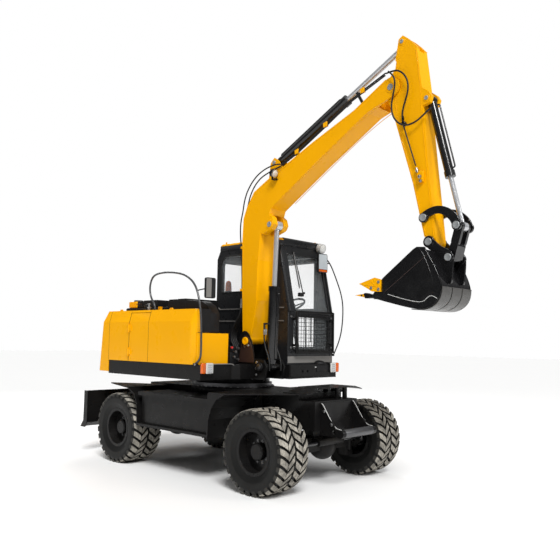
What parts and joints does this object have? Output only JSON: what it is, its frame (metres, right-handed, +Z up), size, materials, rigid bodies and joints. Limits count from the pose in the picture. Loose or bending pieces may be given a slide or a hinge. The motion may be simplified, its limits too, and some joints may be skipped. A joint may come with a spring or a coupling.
{
  "type": "wheeled excavator",
  "caption": "Compact wheeled excavator: four-wheel chassis with rear blade, slewing upper with cab, hinged boom, stick and bucket.",
  "frame": {"origin": "centre of the bounding box at ground level, under the middle of the machine", "axes": "+X forward toward the bucket, +Y to the left (cab side), +Z up"},
  "size_m": [5.323, 2.08, 4.7299],
  "materials": {
    "chassis_black": "satin, light dust",
    "axle_black": "satin",
    "machined_steel": "machined, dark",
    "tyre_rubber": "matt rubber with dry dust",
    "rim_black": "satin",
    "barrel_black": "gloss",
    "chrome_rod": "polished",
    "yellow_paint": "gloss",
    "engine_grey": "cast",
    "cover_black": "satin",
    "cab_grey": "satin",
    "clear_glass": "clear",
    "seat_fabric": "woven",
    "console_plastic": "moulded",
    "lamp_lens": "clear and amber",
    "lamp_clear": "clear",
    "mirror_black": "moulded shell, silvered face",
    "hose_rubber": "woven-cover hydraulic hose",
    "bucket_black": "gloss",
    "tooth_yellow": "satin"
  },
  "bodies": {
    "chassis": {"chassis_frame": "chassis_black", "side_boxes": "chassis_black", "wheel_arches": "chassis_black", "nose_frame": "chassis_black", "slew_ring": "machined_steel", "front_axle": "axle_black", "rear_axle": "axle_black"},
    "steering_rod": {"steering_rod": "chrome_rod"},
    "wheel_front_left": {"tyre_front_left": "tyre_rubber", "rim_front_left": "rim_black"},
    "wheel_front_right": {"tyre_front_right": "tyre_rubber", "rim_front_right": "rim_black"},
    "wheel_rear_left": {"tyre_rear_left": "tyre_rubber", "rim_rear_left": "rim_black"},
    "wheel_rear_right": {"tyre_rear_right": "tyre_rubber", "rim_rear_right": "rim_black"},
    "knuckle_left": {"knuckle_left": "axle_black"},
    "knuckle_right": {"knuckle_right": "axle_black"},
    "blade": {"blade": "chassis_black"},
    "blade_barrel": {"blade_cylinder_barrel": "barrel_black"},
    "blade_rod": {"blade_cylinder_rod": "chrome_rod"},
    "upper": {"platform": "chassis_black", "counterweight": "yellow_paint", "side_hood": "yellow_paint", "left_hood": "yellow_paint", "engine_block": "engine_grey", "front_box": "yellow_paint", "centre_cover": "cover_black", "cab_frame": "cab_grey", "cab_roof": "yellow_paint", "cab_glass": "clear_glass", "seat_cushion": "seat_fabric", "controls": "console_plastic", "marker_lamps": "lamp_lens", "guard_grille": "cover_black", "handrails": "cover_black", "mirrors": "mirror_black", "roof_lamp": "lamp_clear", "foot_hoses": "hose_rubber"},
    "service_door": {"service_door": "yellow_paint"},
    "engine_cover": {"engine_cover": "cover_black"},
    "cab_door": {"cab_door": "cab_grey", "door_glass": "clear_glass"},
    "boom": {"boom": "yellow_paint", "boom_lines": "hose_rubber", "boom_lamp": "cover_black"},
    "boom_barrel": {"boom_cylinder_barrel": "barrel_black", "lift_hoses": "hose_rubber"},
    "boom_rod": {"boom_cylinder_rod": "chrome_rod"},
    "stick": {"stick": "yellow_paint", "stick_hoses": "hose_rubber"},
    "arm_barrel": {"arm_cylinder_barrel": "barrel_black"},
    "arm_rod": {"arm_cylinder_rod": "chrome_rod"},
    "bucket_barrel": {"bucket_cylinder_barrel": "barrel_black"},
    "bucket_rod": {"bucket_cylinder_rod": "chrome_rod"},
    "rocker": {"rocker": "bucket_black"},
    "bucket_link": {"bucket_link": "bucket_black"},
    "bucket": {"bucket": "bucket_black", "bucket_teeth": "tooth_yellow"}
  },
  "joints": [
    {"name": "wheel_spin_front_left", "type": "hinge", "parent": "knuckle_left", "child": "wheel_front_left", "pos_m": [0.7385, 0.831, 0.4375], "axis": [0, 1, 0], "continuous": true},
    {"name": "wheel_spin_front_right", "type": "hinge", "parent": "knuckle_right", "child": "wheel_front_right", "pos_m": [0.7385, -0.831, 0.4375], "axis": [0, 1, 0], "continuous": true},
    {"name": "wheel_spin_rear_left", "type": "hinge", "parent": "chassis", "child": "wheel_rear_left", "pos_m": [-1.7495, 0.831, 0.4375], "axis": [0, 1, 0], "continuous": true},
    {"name": "wheel_spin_rear_right", "type": "hinge", "parent": "chassis", "child": "wheel_rear_right", "pos_m": [-1.7495, -0.831, 0.4375], "axis": [0, 1, 0], "continuous": true},
    {"name": "steer_left", "type": "hinge", "parent": "chassis", "child": "knuckle_left", "pos_m": [0.7385, 0.57, 0.4375], "axis": [0, 0, 1], "range_deg": [-30, 30]},
    {"name": "steer_right", "type": "hinge", "parent": "chassis", "child": "knuckle_right", "pos_m": [0.7385, -0.57, 0.4375], "axis": [0, 0, 1], "range_deg": [-30, 30]},
    {"name": "steering_rod_slide", "type": "slide", "parent": "chassis", "child": "steering_rod", "axis": [0, 1, 0], "range_m": [-0.101, 0.101]},
    {"name": "blade_lift", "type": "hinge", "parent": "chassis", "child": "blade", "pos_m": [-1.9665, 0, 0.56], "axis": [0, 1, 0], "range_deg": [-40, 2]},
    {"name": "blade_barrel_turn", "type": "hinge", "parent": "chassis", "child": "blade_barrel", "pos_m": [-1.9435, 0, 0.872], "axis": [0, 1, 0], "range_deg": [-21.5, 1.5]},
    {"name": "blade_rod_slide", "type": "slide", "parent": "blade_barrel", "child": "blade_rod", "axis": [-0.7031, 0, -0.7111], "range_m": [-0.006, 0.112]},
    {"name": "slew", "type": "hinge", "parent": "chassis", "child": "upper", "pos_m": [-0.6815, 0, 1.042], "axis": [0, 0, 1], "continuous": true},
    {"name": "service_door_turn", "type": "hinge", "parent": "upper", "child": "service_door", "pos_m": [-1.5685, -1.0105, 1.55], "axis": [0, 0, -1], "range_deg": [0, 100]},
    {"name": "engine_cover_lift", "type": "hinge", "parent": "upper", "child": "engine_cover", "pos_m": [-1.2265, 0, 1.952], "axis": [0, 1, 0], "range_deg": [0, 60]},
    {"name": "cab_door_turn", "type": "hinge", "parent": "upper", "child": "cab_door", "pos_m": [-0.9345, 0.9955, 2], "axis": [0, 0, 1], "range_deg": [0, 100]},
    {"name": "boom_lift", "type": "hinge", "parent": "upper", "child": "boom", "pos_m": [-0.2015, -0.1, 1.596], "axis": [0, -1, 0], "range_deg": [-85, 12]},
    {"name": "boom_barrel_turn", "type": "hinge", "parent": "upper", "child": "boom_barrel", "pos_m": [0.0885, -0.1, 1.262], "axis": [0, -1, 0], "range_deg": [-80, 11.5]},
    {"name": "boom_rod_slide", "type": "slide", "parent": "boom_barrel", "child": "boom_rod", "axis": [0.0389, 0, 0.9992], "range_m": [-0.6, 0.09]},
    {"name": "stick_crowd", "type": "hinge", "parent": "boom", "child": "stick", "pos_m": [1.8785, -0.1, 4.204], "axis": [0, 1, 0], "range_deg": [-88, 35]},
    {"name": "arm_barrel_turn", "type": "hinge", "parent": "boom", "child": "arm_barrel", "pos_m": [0.1715, -0.1, 3.72], "axis": [0, 1, 0], "range_deg": [-4, 2]},
    {"name": "arm_rod_slide", "type": "slide", "parent": "arm_barrel", "child": "arm_rod", "axis": [0.8874, 0, 0.461], "range_m": [-0.602, 0.24]},
    {"name": "bucket_dump", "type": "hinge", "parent": "stick", "child": "bucket", "pos_m": [2.3145, -0.1, 2.55], "axis": [0, -1, 0], "range_deg": [-32, 105]},
    {"name": "rocker_turn", "type": "hinge", "parent": "stick", "child": "rocker", "pos_m": [2.2555, -0.1, 2.793], "axis": [0, -1, 0], "range_deg": [-23, 74]},
    {"name": "link_turn", "type": "hinge", "parent": "bucket", "child": "bucket_link", "pos_m": [2.5235, -0.1, 2.384], "axis": [0, -1, 0], "range_deg": [-89, 28]},
    {"name": "bucket_barrel_turn", "type": "hinge", "parent": "stick", "child": "bucket_barrel", "pos_m": [2.2825, -0.1, 3.998], "axis": [0, -1, 0], "range_deg": [-1, 3]},
    {"name": "bucket_rod_slide", "type": "slide", "parent": "bucket_barrel", "child": "bucket_rod", "axis": [0.2425, 0, -0.9701], "range_m": [-0.445, 0.14]}
  ],
  "couplings": [
    {"joint": "steer_right", "follows": "steer_left", "ratio": 1},
    {"joint": "steering_rod_slide", "follows": "steer_left", "m_per_rad": 0.19},
    {"joint": "blade_barrel_turn", "follows": "blade_lift", "ratio": 0.52},
    {"joint": "blade_rod_slide", "follows": "blade_lift", "m_per_rad": -0.156},
    {"joint": "boom_barrel_turn", "follows": "boom_lift", "ratio": 0.93},
    {"joint": "boom_rod_slide", "follows": "boom_lift", "m_per_rad": 0.4},
    {"joint": "arm_barrel_turn", "follows": "stick_crowd", "ratio": 0.04},
    {"joint": "arm_rod_slide", "follows": "stick_crowd", "m_per_rad": 0.39},
    {"joint": "rocker_turn", "follows": "bucket_dump", "ratio": 0.7},
    {"joint": "link_turn", "follows": "bucket_dump", "ratio": -0.84},
    {"joint": "bucket_barrel_turn", "follows": "bucket_dump", "ratio": 0.02},
    {"joint": "bucket_rod_slide", "follows": "bucket_dump", "m_per_rad": -0.2406}
  ]
}
